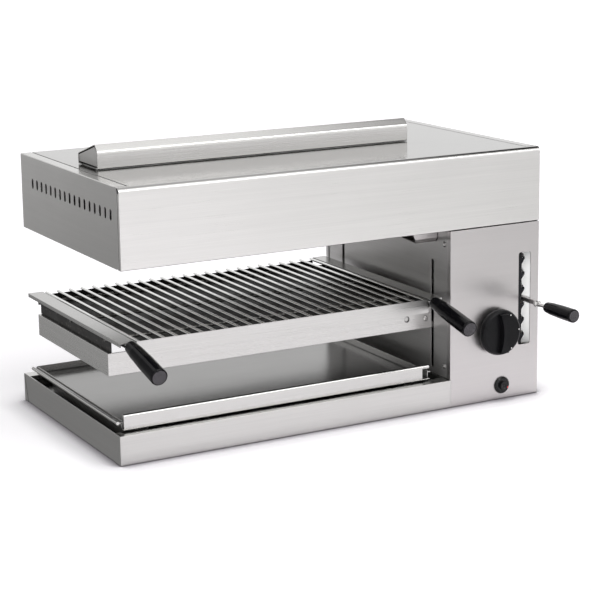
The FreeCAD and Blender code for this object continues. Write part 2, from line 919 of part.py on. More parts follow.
def inlet_pipe():
    """Tube from the inlet fitting to the underside of the tap."""
    return pipe([(inlet_x, body_depth - sheet - inlet_tail, inlet_z), (inlet_x, manifold_y, inlet_z),
                 (knob_x, manifold_y, inlet_z), (knob_x, manifold_y, knob_z - tap_radius)],
                gas_tube, gas_tube_bend)


def gas_tap():
    """Tap body behind the panel, bored for the spindle and for the plug."""
    body = rod((knob_x, sheet, knob_z), (0, 1, 0), tap_radius, tap_length)
    flange = block(knob_x - tap_flange, knob_x + tap_flange, sheet, sheet + tap_flange_thick,
                   knob_z - tap_flange_half, knob_z + tap_flange_half)
    ports = block(knob_x - tap_port_half, knob_x + tap_port_half, manifold_y - tap_port_half,
                  manifold_y + tap_port_half, knob_z - tap_radius, knob_z + tap_radius)
    return less(join([body, flange, ports]), [
        rod((knob_x, 0, knob_z), (0, 1, 0), spindle_radius + run_clearance, plug_start + 1),
        rod((knob_x, plug_start, knob_z), (0, 1, 0), plug_radius + run_clearance,
            plug_length + 2 * end_clearance),
    ])


def tap_plug():
    """Turning plug inside the tap, bored for the tip of the spindle."""
    plug = rod((knob_x, plug_start + end_clearance, knob_z), (0, 1, 0), plug_radius, plug_length)
    depth = spindle_step_y + spindle_tip_length - plug_start + 6
    return plug.cut(rod((knob_x, plug_start, knob_z), (0, 1, 0), spindle_tip + run_clearance, depth))


def tap_spindle():
    """Spindle of the tap, from inside the knob to inside the plug."""
    start = knob_back - spindle_grip
    return join([
        rod((knob_x, start, knob_z), (0, 1, 0), spindle_radius, spindle_step_y - start),
        rod((knob_x, spindle_step_y, knob_z), (0, 1, 0), spindle_tip, spindle_tip_length),
    ])


def control_knob():
    """Round knob with two scooped sides that leave a waisted finger ridge."""
    steps = [(0, knob_radius - 2.5), (1.5, knob_radius - 0.6), (3.5, knob_radius), (6, knob_radius),
             (knob_back - knob_front - 2.2, knob_radius - 1.6), (knob_back - knob_front, knob_radius - 4.4)]
    disc = turned(steps, (knob_x, knob_back, knob_z), (0, -1, 0))
    reach = knob_radius - knob_ridge_end
    ridge = block(knob_x - knob_ridge_half, knob_x + knob_ridge_half, knob_front - knob_ridge, knob_front,
                  knob_z - reach, knob_z + reach)
    side = knob_waist_radius + knob_waist_half
    ridge = less(ridge, [
        rod((knob_x - side, knob_front - 20, knob_z), (0, 1, 0), knob_waist_radius, 40),
        rod((knob_x + side, knob_front - 20, knob_z), (0, 1, 0), knob_waist_radius, 40),
    ])
    crown = rod((knob_x - knob_radius, knob_front + knob_crown_radius - knob_ridge, knob_z), (1, 0, 0),
                knob_crown_radius, 2 * knob_radius)
    ridge = ridge.common(crown)
    bore = rod((knob_x, knob_back - spindle_grip - 0.2, knob_z), (0, 1, 0),
               spindle_radius + run_clearance, 10)
    dish = turned([(0, knob_radius - knob_wall), (knob_dish, knob_radius - knob_wall - 2)],
                  (knob_x, knob_back + 0.01, knob_z), (0, -1, 0))
    boss = rod((knob_x, knob_back, knob_z), (0, -1, 0), knob_boss, knob_dish + 0.5)
    return less(join([disc.cut(dish), ridge, boss]), [bore])


def knob_marks():
    """Small index dots on the knob's front shoulder."""
    dots = []
    for angle in knob_mark_angles:
        a = math.radians(angle)
        radius = knob_radius - knob_mark_inset
        dots.append(rod((knob_x + radius * math.cos(a), knob_front, knob_z + radius * math.sin(a)),
                        (0, -1, 0), knob_mark_radius, mark_height))
    return dots


def igniter_bezel():
    """Round bezel of the igniter on the panel."""
    steps = [(0, igniter_radius), (2.2, igniter_radius), (igniter_bezel_height, igniter_radius - 2.2)]
    disc = turned(steps, (igniter_x, 0, igniter_z), (0, -1, 0))
    return disc.cut(rod((igniter_x, -10, igniter_z), (0, 1, 0), button_radius + run_clearance, 12))


def igniter_mark():
    """Small spark mark on the bezel."""
    return rod((igniter_x + igniter_mark_side, -igniter_bezel_height, igniter_z - igniter_mark_drop),
               (0, -1, 0), igniter_mark_radius, mark_height)


def igniter_body():
    """Igniter barrel behind the panel, with its nut and spark terminal."""
    barrel = rod((igniter_x, 0, igniter_z), (0, 1, 0), igniter_barrel, igniter_length)
    nut = rod((igniter_x, sheet, igniter_z), (0, 1, 0), igniter_barrel + igniter_nut, igniter_nut)
    terminal = rod((igniter_x, igniter_length, igniter_z), (0, 1, 0), igniter_terminal_radius,
                   igniter_terminal)
    depth = button_front + button_length + button_travel_gap
    stem_depth = button_stem_length + 2
    return less(join([barrel, nut, terminal]), [
        rod((igniter_x, -1, igniter_z), (0, 1, 0), button_radius + run_clearance, depth),
        rod((igniter_x, depth - 2, igniter_z), (0, 1, 0), button_stem + run_clearance, stem_depth),
    ])


def igniter_button():
    """Push button of the igniter, dished in the middle."""
    cap = rod((igniter_x, button_front, igniter_z), (0, 1, 0), button_radius, button_length)
    dish = Part.makeSphere(button_dish, Vector(igniter_x, button_front - button_dish + 1.5, igniter_z))
    stem = rod((igniter_x, button_front + button_length, igniter_z), (0, 1, 0), button_stem,
               button_stem_length)
    return join([cap.cut(dish), stem])


def thermocouple():
    """Flame sensor: a thin tube from the side of the tap up the column to the burner's edge."""
    side = knob_x - thermo_offset
    return pipe([(knob_x - tap_radius, thermo_y, knob_z), (side, thermo_y, knob_z),
                 (side, thermo_y, thermo_z),
                 (shield_left + 14, thermo_y, thermo_z)], thermo_radius, 5.0)


def spark_electrode():
    """Spark lead from the igniter's terminal up the column, with its ceramic pin by the burner."""
    side = igniter_x + 14
    start = igniter_length + igniter_terminal
    lead = pipe([(igniter_x, start, igniter_z), (igniter_x, lead_y, igniter_z), (side, lead_y, igniter_z),
                 (side, lead_y, lead_z), (shield_left + 24, lead_y, lead_z)], lead_radius, 3.5)
    pin = rod((shield_left + 10, lead_y, lead_z), (1, 0, 0), electrode_radius, electrode_length)
    return join([lead, pin])


def height_rack():
    """Rack with upward hooks that hold the lever at one of its heights."""
    low = gate_low - rack_overrun
    high = gate_high + rack_overrun
    shapes = [block(rack_bar_left, rack_bar_right, rack_front, rack_front + rack_thickness, low, high)]
    for i in range(hook_count):
        seat = hook_seat_low + i * hook_pitch
        outline = [(rack_bar_right - 1, seat), (rack_bar_right + 2.2, seat),
                   (hook_tip - 3.2, seat + hook_rise - 0.8), (hook_tip - 1.8, seat + hook_rise),
                   (hook_tip - 0.5, seat + hook_rise - 0.6), (hook_tip, seat + hook_rise - 2.2),
                   (hook_tip, seat - 1.5), (rack_bar_right, seat - hook_under),
                   (rack_bar_right - 1, seat - hook_under)]
        shapes.append(prism("xz", outline, rack_front, rack_front + rack_thickness))
    for z in (low + 5, high - 5):
        shapes.append(rod((rack_bar_left + 6, sheet, z), (0, 1, 0), 4, rack_front - sheet))
    return join(shapes)


def gate_guide():
    """Folded guide strip right of the gate that the lever bar runs beside."""
    low = gate_low - guide_overrun
    high = gate_high + guide_overrun
    return join([
        block(guide_wall, guide_wall + sheet, sheet, guide_depth, low, high),
        block(guide_wall, body_width - sheet, sheet, 2 * sheet, low, high),
    ])


def guide_rods():
    """Two upright rods that the lift carriage slides on."""
    rods = []
    for y in (rod_front_y, rod_rear_y):
        rods.append(rod((rod_x, y, sheet), (0, 0, 1), rod_radius, rod_bracket_z - sheet))
    return rods


def rod_bracket():
    """Bracket on the inner wall that holds the rods' upper ends, and their floor sockets."""
    x0 = column_left + sheet
    front = rod_front_y - bracket_over
    rear = rod_rear_y + bracket_over
    top = join([
        block(x0, rod_x + bracket_reach, front, rear, rod_bracket_z, rod_bracket_z + bracket_thick),
        block(x0, x0 + bracket_thick, front, rear, rod_bracket_z - bracket_leg, rod_bracket_z),
    ])
    parts = [top]
    for y in (rod_front_y, rod_rear_y):
        parts.append(ring((rod_x, y, sheet), (0, 0, 1), rod_radius + socket_wall,
                          rod_radius + run_clearance, socket_height))
    return parts


def wall_screws():
    """Four screws that hold the inner wall, heads on the cooking side."""
    screws = []
    for y in (wall_screw_y, body_depth - wall_screw_y):
        for z in (wall_screw_low, wall_screw_high):
            screws.append(screw((column_left, y, z), (-1, 0, 0), wall_screw_head, wall_screw_shank,
                                wall_screw_length))
    return screws


def rear_screws():
    """Screws of the rear cover and the hood's rear panel."""
    screws = []
    for x, z in cover_screw_places() + hood_screw_places():
        screws.append(screw((x, body_depth, z), (0, 1, 0), rear_screw_head, rear_screw_shank,
                            rear_screw_length))
    return screws


def carrier_frame():
    """U-shaped carrier of three plates, with a doubler and tongues that reach into the column."""
    right = column_left - wall_clear
    front = slot_front_y - plate / 2
    rear = slot_rear_y - plate / 2
    plates = [
        block(carrier_left, right, front, front + plate, carrier_low, carrier_high),
        block(carrier_left, right, rear, rear + plate, carrier_low, carrier_high),
        block(carrier_left, carrier_left + plate, front, rear + plate, carrier_low, carrier_high),
        block(carrier_left, carrier_left + carrier_lip, front, rear + plate, carrier_high - sheet,
              carrier_high),
        block(carrier_hole_x - carrier_doubler_half, carrier_hole_x + carrier_doubler_half, front + plate,
              front + plate + sheet, carrier_low, carrier_high),
        block(right - 1, tongue_reach, front, front + plate, carrier_low, carrier_low + tongue_height),
        block(right - 1, tongue_reach, rear, rear + plate, carrier_low, carrier_low + tongue_height),
    ]
    return less(join(plates), [
        rod((carrier_hole_x, front - 1, carrier_hole_z), (0, 1, 0), carrier_hole, plate + 1),
        rod((carrier_screw_x, front - 1, carrier_screw_z), (0, 1, 0), wall_screw_hole, plate + 2),
    ])


def carrier_screw():
    """Screw on the carrier's front plate."""
    y = slot_front_y - plate / 2
    return screw((carrier_screw_x, y, carrier_screw_z), (0, -1, 0), wall_screw_head, wall_screw_shank,
                 carrier_screw_length)


def grid_rail(mirrored):
    """Folded rail inside the carrier that the grid slides on."""
    low = carrier_low + sheet
    top = grid_top - 2 * grid_rod - 2 * cross_rod - slide_gap
    front = slot_front_y + plate / 2
    rear = slot_rear_y - plate / 2
    web = [
        block(rail_web_x, rail_web_x + sheet, front, rear, low, top),
        block(rail_web_x, rail_web_x + sheet, front, rail_rear, carrier_high + seat_gap, top),
        block(rail_web_x, rail_web_x + rail_flange, front, rail_rear, top - sheet, top),
    ]
    rail = join(web)
    if mirrored:
        rail = rail.mirror(Vector((grid_left + grid_right) / 2, 0, 0), Vector(1, 0, 0))
    return rail


def lift_plate():
    """Upright plate inside the column that joins both tongues, with blocks for the bushes."""
    front = slot_front_y - plate / 2
    rear = slot_rear_y + plate / 2
    x0 = tongue_reach
    x1 = x0 + lift_plate_thick
    high = bush_high + bush_height
    shapes = [block(x0, x1, front, rear, bush_low, high)]
    for y in (rod_front_y, rod_rear_y):
        for z in (bush_low, bush_high):
            shapes.append(block(x1, rod_x, y - bush_block, y + bush_block, z, z + bush_height))
            shapes.append(rod((rod_x, y, z), (0, 0, 1), bush_block, bush_height))
    top = lever_low() - seat_gap
    arm = [
        block(x1, lever_arm_end, lever_pivot_y - lever_arm_half, lever_pivot_y + lever_arm_half,
              top - lever_arm_thick, top),
        rod((lever_x(), lever_pivot_y, top - 1), (0, 0, 1), lever_pin,
            lever_tall + seat_gap + lever_pin_over + 1),
    ]
    cutters = []
    for y in (rod_front_y, rod_rear_y):
        cutters.append(rod((rod_x, y, bush_low - 1), (0, 0, 1), bush_radius, high - bush_low + 2))
    return join([less(join(shapes), cutters)] + arm)


def lift_bushes():
    """Four plain bushes that run on the guide rods."""
    bushes = []
    for y in (rod_front_y, rod_rear_y):
        for z in (bush_low, bush_high):
            bushes.append(ring((rod_x, y, z), (0, 0, 1), bush_radius, rod_radius + run_clearance,
                               bush_height))
    return bushes


def lever_low():
    """Underside of the lever bar: just above the hook that it is level with, counted from the lowest."""
    return hook_seat_low + hook_at_rest * hook_pitch + hook_rise + lever_hook_gap


def lever_x():
    """Middle of the lever bar, free of the hook tips."""
    return hook_tip + lever_gap + lever_thick / 2


def lever_bar():
    """Flat bar from the pivot out through the gate."""
    x = lever_x()
    low = lever_low()
    half = lever_thick / 2
    shape = join([
        block(x - half, x + half, lever_end, lever_pivot_y, low, low + lever_tall),
        rod((x, lever_pivot_y, low), (0, 0, 1), lever_boss, lever_tall),
    ])
    return less(shape, [
        rod((x, lever_pivot_y, low - 1), (0, 0, 1), lever_pin + run_clearance, lever_tall + 2),
        rod((x - 5, lever_bolt_y, low + lever_tall / 2), (1, 0, 0), lever_bolt_hole, 10),
    ])


def lever_rod_piece():
    """Round rod of the lever, flattened to an eye where it is bolted to the bar."""
    x1 = lever_x() - lever_thick / 2
    x0 = x1 - lever_eye_thick
    z = lever_low() + lever_tall / 2
    middle = (x0 + x1) / 2
    start = lever_bolt_y - lever_eye_length + 3
    end = lever_grip_start - lever_rod_depth
    eye = join([
        rod((x0, lever_bolt_y, z), (1, 0, 0), lever_eye, lever_eye_thick),
        block(x0, x1, lever_bolt_y - lever_eye_length, lever_bolt_y, z - lever_eye_neck, z + lever_eye_neck),
    ])
    eye = eye.cut(rod((x0 - 5, lever_bolt_y, z), (1, 0, 0), lever_bolt_hole, 20))
    bar = rod((middle, start, z), (0, -1, 0), lever_rod, start - end)
    return join([eye, bar])


def lever_bolt():
    """Bolt and nut of the lever's eye."""
    x1 = lever_x() + lever_thick / 2
    x0 = lever_x() - lever_thick / 2 - lever_eye_thick
    z = lever_low() + lever_tall / 2
    return join([
        turned([(0, lever_bolt_head), (lever_nut_height / 2, lever_bolt_head),
                (lever_nut_height, lever_bolt_crown)], (x0, lever_bolt_y, z), (-1, 0, 0)),
        rod((x0, lever_bolt_y, z), (1, 0, 0), lever_bolt_radius, x1 - x0 + lever_nut_height + 1),
        rod((x1, lever_bolt_y, z), (1, 0, 0), lever_nut, lever_nut_height),
    ])


def grip(place, direction, length, r0, r1, bore, depth):
    """Tapered grip with a rounded root and a recess for its end cap."""
    steps = [(0, r0 - 1.6), (1.2, r0 - 0.5), (3, r0), (length * 0.22, r0 + (r1 - r0) * 0.55),
             (length * 0.55, r0 + (r1 - r0) * 0.92), (length - 3, r1), (length - 1, r1 - 0.3),
             (length, r1 - 1.2)]
    body = turned(steps, place, direction)
    recess_at = [place[i] + direction[i] * (length - cap_inset) for i in range(3)]
    return less(body, [rod(recess_at, direction, r1 - cap_rim, 5), rod(place, direction, bore, depth)])


def grip_cap(place, direction, length, r1):
    """Round plug that closes the end of a grip."""
    start = [place[i] + direction[i] * (length - cap_inset) for i in range(3)]
    return rod(start, direction, r1 - cap_rim - run_clearance, cap_thick)


def lever_grip_place():
    """Root of the lever's grip."""
    x = lever_x() - (lever_thick + lever_eye_thick) / 2
    return (x, lever_grip_start, lever_low() + lever_tall / 2)


def handle_direction():
    """Direction of the grid handles: forwards and down."""
    a = math.radians(handle_tilt)
    return (0, -math.cos(a), -math.sin(a))


def handle_bends():
    """Points under the front ends of the side bars where the handle rods turn down."""
    z = grid_top - plate - handle_rod
    return [(x, grid_front + 1, z) for x in (grid_left + handle_inset, grid_right - handle_inset)]


def handle_places():
    """Roots of the two grid grips, a short way along the sloping part of the rods."""
    direction = handle_direction()
    return [tuple(p[i] + direction[i] * handle_lead for i in range(3)) for p in handle_bends()]


def grid_side_bars():
    """Flat side bars of the grid with down-turned outer edges."""
    bars = []
    for x0, edge in ((grid_left, grid_left), (grid_right - grid_bar, grid_right - grid_edge)):
        bars.append(join([
            block(x0, x0 + grid_bar, grid_front, grid_rear, grid_top - plate, grid_top),
            block(edge, edge + grid_edge, grid_front, grid_rear, grid_top - grid_lip, grid_top),
        ]))
    return bars


def grid_pan():
    """Shallow pan under the cooking bars; its front wall is the skirt of the grid."""
    rear_top = grid_top - 2 * grid_rod - seat_gap
    side_top = rear_top - 2 * cross_rod - seat_gap
    start = grid_front + pan_front_sheet
    end = grid_rear - pan_sheet
    front = rounded_panel("xz", pan_left, pan_right, pan_low, grid_top, 1.5, grid_front, start)
    return join([
        front,
        block(pan_left, pan_right, start - pan_sheet, end, pan_low + 1.5, pan_low + 1.5 + pan_sheet),
        block(pan_left, pan_left + pan_sheet, start - pan_sheet, end, pan_low + 1.5, side_top),
        block(pan_right - pan_sheet, pan_right, start - pan_sheet, end, pan_low + 1.5, side_top),
        block(pan_left, pan_right, end - pan_sheet, end, pan_low + 1.5, rear_top),
    ])


def grid_rods():
    """Round bars of the cooking surface, front to rear."""
    rods = []
    start = grid_front + pan_front_sheet
    pitch = (grid_rod_last - grid_rod_first) / (grid_rod_count - 1)
    for i in range(grid_rod_count):
        x = grid_rod_first + i * pitch
        rods.append(rod((x, start, grid_top - grid_rod), (0, 1, 0), grid_rod, grid_rear - start))
    return rods


def grid_cross_rods():
    """Cross rods under the bars; they tie the side bars together."""
    rods = []
    z = grid_top - 2 * grid_rod - cross_rod
    length = grid_right - grid_left - 2 * grid_edge
    for y in (grid_front + cross_rod_inset, body_depth / 2, grid_rear - cross_rod_inset + 20):
        rods.append(rod((grid_left + grid_edge, y, z), (1, 0, 0), cross_rod, length))
    return rods


def handle_rods():
    """Bent rods that carry the grips, welded under the side bars."""
    direction = handle_direction()
    rods = []
    for bend in handle_bends():
        tip = tuple(bend[i] + direction[i] * (handle_lead + handle_rod_depth) for i in range(3))
        rods.append(pipe([(bend[0], handle_rod_back, bend[2]), bend, tip], handle_rod, handle_rod_bend))
    return rods


def drip_tray():
    """Shallow tray with rolled side rims and a raised front lip with a bead along its top."""
    rim_z = tray_rim - sheet - tray_groove
    rim_top = tray_rim - tray_groove
    x0 = tray_left
    x1 = tray_right
    y0 = tray_front
    shapes = [
        block(x0, x1, y0, tray_rear, tray_floor, tray_floor + sheet),
        block(x0, x0 + sheet, tray_side_start, tray_rear, tray_floor, tray_rim),
        block(x1 - sheet, x1, tray_side_start, tray_rear, tray_floor, tray_rim),
        block(x0, x1, tray_rear - sheet, tray_rear, tray_floor, tray_rim),
        block(x0 - tray_rim_out + tray_bead, x0 + sheet, tray_side_start, tray_rear, rim_z, rim_top),
        block(x1 - sheet, x1 + tray_right_rim_out, tray_side_start, tray_rear, rim_z, rim_top),
        rod((x0 - tray_rim_out + tray_bead, tray_side_start, tray_rim - tray_bead), (0, 1, 0), tray_bead,
            tray_rear - tray_side_start),
        block(tray_lip_left, tray_lip_right, y0, y0 + sheet, tray_floor, tray_lip_top - tray_lip_bead),
        rod((tray_lip_left, y0 + tray_lip_bead, tray_lip_top - tray_lip_bead), (1, 0, 0), tray_lip_bead,
            tray_lip_end - tray_lip_left),
    ]
    return join(shapes)


def build():
    save("base_pan", [base_pan()])
    save("base_deck", [base_deck()])
    save("tray_runners", tray_runners())
    save("column_front_panel", [column_front_panel()])
    save("column_side_panel", [column_side_panel()])
    save("column_inner_wall", [column_inner_wall()])
    save("column_floor", [column_floor()])
    save("column_rear_cover", [column_rear_cover()])
    save("hood_shell", [hood_shell()])
    save("hood_side_left", [hood_side(False)])
    save("hood_side_right", [hood_side(True)])
    save("hood_rear_panel", [hood_rear_panel()])
    save("flue_collar", [flue_collar()])
    save("flue_cap", [flue_cap()])
    save("flue_end_plates", flue_ends())
    save("heat_shield", [heat_shield()])
    save("burner_rails", burner_rails())
    burners = (burner_left, burner_left + burner_width + burner_gap)
    save("burner_boxes", [burner_box(x) for x in burners])
    save("burner_tiles", [burner_tile(x) for x in burners])
    save("burner_guards", [burner_guard(x) for x in burners])
    save("ignition_shield", [ignition_shield()])
    save("gas_manifold", [gas_manifold()])
    save("gas_injectors", injectors())
    save("gas_inlet_fitting", [inlet_fitting(), inlet_nut()])
    save("gas_inlet_pipe", [inlet_pipe()])
    save("gas_tap_body", [gas_tap()])
    save("gas_tap_plug", [tap_plug()])
    save("gas_tap_spindle", [tap_spindle()])
    save("control_knob", [control_knob()])
    save("knob_marks", knob_marks())
    save("igniter_bezel", [igniter_bezel()])
    save("igniter_mark", [igniter_mark()])
    save("igniter_body", [igniter_body()])
    save("igniter_button", [igniter_button()])
    save("thermocouple", [thermocouple()])
    save("spark_electrode", [spark_electrode()])
    save("height_rack", [height_rack()])
    save("gate_guide", [gate_guide()])
    save("guide_rods", guide_rods())
    save("rod_brackets", rod_bracket())
    save("wall_screws", wall_screws())
    save("rear_screws", rear_screws())
    save("carrier_frame", [carrier_frame()])
    save("carrier_screw", [carrier_screw()])
    save("grid_rails", [grid_rail(False), grid_rail(True)])
    save("lift_plate", [lift_plate()])
    save("lift_bushes", lift_bushes())
    save("lever_bar", [lever_bar()])
    save("lever_rod", [lever_rod_piece()])
    save("lever_bolt", [lever_bolt()])
    lever_place = lever_grip_place()
    save("lever_grip", [grip(lever_place, (0, -1, 0), lever_grip_length, lever_grip_r0, lever_grip_r1,
                             lever_rod + run_clearance, lever_rod_depth + grip_bore_spare)])
    save("lever_grip_cap", [grip_cap(lever_place, (0, -1, 0), lever_grip_length, lever_grip_r1)])
    save("grid_side_bars", grid_side_bars())
    save("grid_pan", [grid_pan()])
    save("grid_rods", grid_rods())
    save("grid_cross_rods", grid_cross_rods())
    save("handle_rods", handle_rods())
    direction = handle_direction()
    grip_bore = handle_rod_depth + grip_bore_spare
    save("handle_grips", [grip(p, direction, grip_length, grip_r0, grip_r1, handle_rod + run_clearance,
                               grip_bore) for p in handle_places()])
    save("handle_caps", [grip_cap(p, direction, grip_length, grip_r1) for p in handle_places()])
    save("drip_tray", [drip_tray()])


build()
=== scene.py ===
import bpy
import math
from mathutils import Matrix, Vector

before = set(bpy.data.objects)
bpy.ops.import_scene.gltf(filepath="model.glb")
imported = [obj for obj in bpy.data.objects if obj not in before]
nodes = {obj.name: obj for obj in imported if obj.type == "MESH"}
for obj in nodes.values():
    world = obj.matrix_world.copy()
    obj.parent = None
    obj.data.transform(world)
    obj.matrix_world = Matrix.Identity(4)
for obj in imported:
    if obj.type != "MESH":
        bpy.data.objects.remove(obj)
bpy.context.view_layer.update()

# Camera: place, direction and lens of the photograph, in metres, degrees and millimetres
CAMERA_PLACE = (-1.3602, -2.5585, 0.8522)
CAMERA_YAW = -28.460
CAMERA_PITCH = 11.277
CAMERA_ROLL = -0.773
CAMERA_LENS = 108.35
CAMERA_SENSOR = 36.0
CAMERA_SHIFT = -0.1007
CAMERA_REACH = 60.0

# White surroundings: the world's level as light, and the floor's own glow that makes it pure white
WORLD_LEVEL = 0.42
FLOOR_GLOW = 0.42
FLOOR_HALF = 12.0
FLOOR_DROP = 0.0006
FLOOR_OPEN = (0.86, 0.84, 0.87)
# Painted shadow: the floor's colour and glow darken near the object, within these reaches
FLOOR_PAINTED_SHADOW = (0.34, 0.32, 0.35)
SHADOW_REACH = 0.06
CONTACT_REACH = 0.025

# Brushed steel: noise scales per metre along and across the stroke, how it ages, and the painted shade in its
# seams
FLAT_LIMIT = 0.7
FINE_ALONG = 6.0
FINE_ACROSS = 1100.0
FINE_SHARE = 0.55
BROAD_ALONG = 2.2
BROAD_ACROSS = 130.0
HAZE_SCALE = 5.5
SMEAR_SCALE = 16.0
SCRATCH_TURN = (0.5, 0.4, 0.9)
SCRATCH_SCALE = (9.0, 260.0, 9.0)
EDGE_WEAR = 0.35
EDGE_ROUND = 0.0012
ANISOTROPY = 0.55
SEAM_PAINTED_SHADE = (0.03, 0.028, 0.026)
SEAM_SHADE_REACH = 0.004

# Grid pan: Y of the inner face of its front wall, and its near-black inside, painted shade with burnt-on fat
PAN_FRONT = -0.2014
PAN_SHADE_AND_BURNT = (0.012, 0.011, 0.010)
BURNT_BROWN = (0.09, 0.065, 0.045)

# Holes per metre in the burners' plaques
PLAQUE_HOLES = 420.0

# Colours of bare steel, for most pieces and for the control panel
STEEL = (0.62, 0.612, 0.60)
PANEL_STEEL = (0.63, 0.607, 0.605)

# Reflected cards: the left ones stand and lie beside the object, the others before and above it
LEFT_X = -1.15
LEFT_LOW_X = -0.56
LEFT_NEAR_X = -0.385
LEFT_WALL_Y = -0.6
LEFT_FRONT_Y = -0.3
LEFT_REAR_Y = 3.0
LEFT_HEIGHT = 1.5
LEFT_SPAN = (1.15, 1.75)
LOW_Z = 0.001
HIGH_Z = 2.0

# Spot lamp into the gate of the control panel
GATE_LAMP_PLACE = (-0.15, -1.05, 0.25)
GATE_MIDDLE = (0.3465, -0.205, 0.167)
GATE_POWER = 62
GATE_CONE = 10
GATE_BLEND = 0.4
GATE_LAMP_RADIUS = 0.03


def add_object(name, data):
    """New object that is linked to the scene."""
    made = bpy.data.objects.new(name, data)
    bpy.context.scene.collection.objects.link(made)
    return made


def add_camera():
    """Camera that sees the object as the photograph does."""
    yaw, pitch, roll = (math.radians(a) for a in (CAMERA_YAW, CAMERA_PITCH, CAMERA_ROLL))
    forward = Vector((-math.sin(yaw) * math.cos(pitch), math.cos(yaw) * math.cos(pitch), -math.sin(pitch)))
    right = Vector((math.cos(yaw), math.sin(yaw), 0))
    up = right.cross(forward)
    turned_right = right * math.cos(roll) + up * math.sin(roll)
    turned_up = up * math.cos(roll) - right * math.sin(roll)
    data = bpy.data.cameras.new("camera")
    data.lens = CAMERA_LENS
    data.sensor_width = CAMERA_SENSOR
    data.shift_y = CAMERA_SHIFT
    data.clip_end = CAMERA_REACH
    camera = add_object("camera", data)
    turn = Matrix((turned_right, turned_up, -forward)).transposed().to_4x4()
    camera.matrix_world = Matrix.Translation(CAMERA_PLACE) @ turn
    bpy.context.scene.camera = camera


def aim(lamp, direction):
    """Turn a lamp so that it shines along a direction."""
    lamp.rotation_euler = Vector(direction).to_track_quat("-Z", "Y").to_euler()


def add_sun(name, direction, strength, angle):
    """Sun lamp; its angle in degrees makes its shadows soft."""
    data = bpy.data.lights.new(name, "SUN")
    data.energy = strength
    data.angle = math.radians(angle)
    aim(add_object(name, data), direction)


def add_gate_lamp():
    """Spot lamp that reaches only the rack and the bright strip in the control panel's gate."""
    data = bpy.data.lights.new("gate", "SPOT")
    data.energy = GATE_POWER
    data.spot_size = math.radians(GATE_CONE)
    data.spot_blend = GATE_BLEND
    data.shadow_soft_size = GATE_LAMP_RADIUS
    lamp = add_object("gate", data)
    lamp.location = GATE_LAMP_PLACE
    aim(lamp, Vector(GATE_MIDDLE) - Vector(GATE_LAMP_PLACE))
    reached = bpy.data.collections.new("gate_reached")
    for name in ("gate_guide", "height_rack"):
        reached.objects.link(nodes[name])
    lamp.light_linking.receiver_collection = reached


def shade(colour, factor):
    """A colour made darker or lighter, none of its parts over 1."""
    return tuple(min(1.0, c * factor) for c in colour)


def opaque(colour):
    """A colour with full alpha, as colour sockets take it."""
    return (*colour, 1.0)


class Graph:
    """Short way to write the node tree of a material or of the world."""

    def __init__(self, tree, output):
        self.tree = tree
        self.tree.nodes.clear()
        self.out = self.tree.nodes.new(output)

    def node(self, kind, inputs=None, **settings):
        """New node; an input is a value or the output that feeds it."""
        made = self.tree.nodes.new(kind)
        for key, value in settings.items():
            setattr(made, key, value)
        for key, value in (inputs or {}).items():
            if isinstance(value, bpy.types.NodeSocket):
                self.tree.links.new(value, made.inputs[key])
            else:
                made.inputs[key].default_value = value
        return made

    def show(self, shader):
        """Join the last node to the tree's output."""
        self.tree.links.new(shader.outputs[0], self.out.inputs[0])

    def math(self, operation, a, b=0.5, clamp=False):
        return self.node("ShaderNodeMath", {0: a, 1: b}, operation=operation, use_clamp=clamp).outputs[0]

    def place(self):
        """Place on the piece, in metres, which moves with it."""
        return self.node("ShaderNodeTexCoord").outputs["Object"]

    def split(self, vector):
        return self.node("ShaderNodeSeparateXYZ", {"Vector": vector}).outputs

    def cross(self, a, b):
        return self.node("ShaderNodeVectorMath", {0: a, 1: b}, operation="CROSS_PRODUCT").outputs[0]

    def stretched(self, vector, scale, turn=(0, 0, 0)):
        return self.node("ShaderNodeMapping", {"Vector": vector, "Scale": scale, "Rotation": turn}).outputs[0]

    def noise(self, vector, scale, detail=3.0, rough=0.55):
        return self.node("ShaderNodeTexNoise", {"Vector": vector, "Scale": scale, "Detail": detail,
                                                "Roughness": rough}).outputs["Fac"]

    def ramp(self, value, stops):
        """Colour from a value, by stops of position and colour."""
        made = self.node("ShaderNodeValToRGB", {"Fac": value})
        elements = made.color_ramp.elements
        while len(elements) < len(stops):
            elements.new(0.5)
        for element, (position, colour) in zip(elements, stops):
            element.position = position
            element.color = opaque(colour)
        return made.outputs["Color"]

    def span(self, value, low, high, to_low, to_high):
        """Value carried from one span to another, held at the ends."""
        return self.node("ShaderNodeMapRange", {"Value": value, "From Min": low, "From Max": high,
                                                "To Min": to_low, "To Max": to_high}).outputs["Result"]

    def mix(self, kind, factor, a, b, blend="MIX"):
        """From a at factor 0 to b at factor 1; the kind is FLOAT, VECTOR or RGBA."""
        made = self.node("ShaderNodeMix", {"Factor": factor, "A": a, "B": b}, data_type=kind,
                         blend_type=blend)
        return [s for s in made.outputs if s.enabled][0]

    def openness(self, reach):
        """1 where nothing is within reach, less in seams and corners."""
        return self.node("ShaderNodeAmbientOcclusion", {"Distance": reach}, samples=8).outputs["AO"]

    def bump(self, height, strength, distance, normal=None):
        """Normal that follows a height, on top of another normal if one is given."""
        inputs = {"Strength": strength, "Distance": distance, "Height": height}
        if normal is not None:
            inputs["Normal"] = normal
        return self.node("ShaderNodeBump", inputs).outputs[0]

    def surface(self, tone, normal, inputs):
        """Main shader with a tone, a normal and other inputs."""
        self.show(self.node("ShaderNodeBsdfPrincipled", {"Base Color": tone, "Normal": normal, **inputs}))

    def seen(self):
        """1 for camera, glossy and transmission rays, 0 for light on other surfaces."""
        path = self.node("ShaderNodeLightPath").outputs
        direct = self.math("MAXIMUM", path["Is Camera Ray"], path["Is Glossy Ray"])
        return self.math("MAXIMUM", direct, path["Is Transmission Ray"])


def new_material(name):
    """Material and the graph that fills it."""
    material = bpy.data.materials.new(name)
    material.use_nodes = True
    return material, Graph(material.node_tree, "ShaderNodeOutputMaterial")


